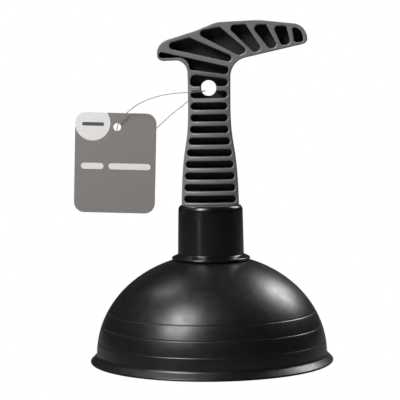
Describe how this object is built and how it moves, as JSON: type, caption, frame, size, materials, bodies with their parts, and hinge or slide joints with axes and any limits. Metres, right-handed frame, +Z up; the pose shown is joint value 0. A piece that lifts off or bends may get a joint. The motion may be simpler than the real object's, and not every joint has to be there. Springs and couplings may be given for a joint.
{
  "type": "sink plunger",
  "caption": "Hand plunger for sinks: rubber half-dome cup with a flared lip, flanged collar, ribbed T-shaped handle with a hang hole, and a card tag on a nylon loop.",
  "frame": {"origin": "centre of the cup's rim, on the floor that the lip rests on", "axes": "+Z up along the cup's axis, the handle's front face towards -Y, the long end of the T head towards +X"},
  "size_m": [0.1592, 0.15, 0.2091],
  "materials": {
    "cup_rubber": "black rubber, satin",
    "collar_plastic": "black plastic, glossy",
    "handle_plastic": "mid grey plastic, fine satin",
    "steel": "zinc plated",
    "washer_rubber": "black rubber",
    "card": "printed warm grey, matt",
    "nylon": "natural nylon, slightly translucent"
  },
  "bodies": {
    "base": {"cup": "cup_rubber"},
    "grip": {"collar": "collar_plastic", "handle": "handle_plastic", "clamp_plate": "steel", "sealing_washer": "washer_rubber", "screw": "steel"},
    "tag_hanger": {"tag_loop": "nylon", "loop_lock": "nylon"},
    "tag": {"tag_card": "card"}
  },
  "joints": [
    {"name": "plunge", "type": "slide", "parent": "base", "child": "grip", "axis": [0, 0, 1], "range_m": [-0.03, 0], "stiffness_N_per_m": 2000, "springref_m": 0.002, "deforming": ["cup"]},
    {"name": "tag_swing", "type": "hinge", "parent": "grip", "child": "tag_hanger", "pos_m": [-0.0004, 0, 0.1684], "axis": [0, 1, 0], "range_deg": [-4, 30]},
    {"name": "tag_turn", "type": "hinge", "parent": "tag_hanger", "child": "tag", "pos_m": [-0.0568, 0, 0.145], "axis": [0, 1, 0], "range_deg": [-6, 30]}
  ]
}
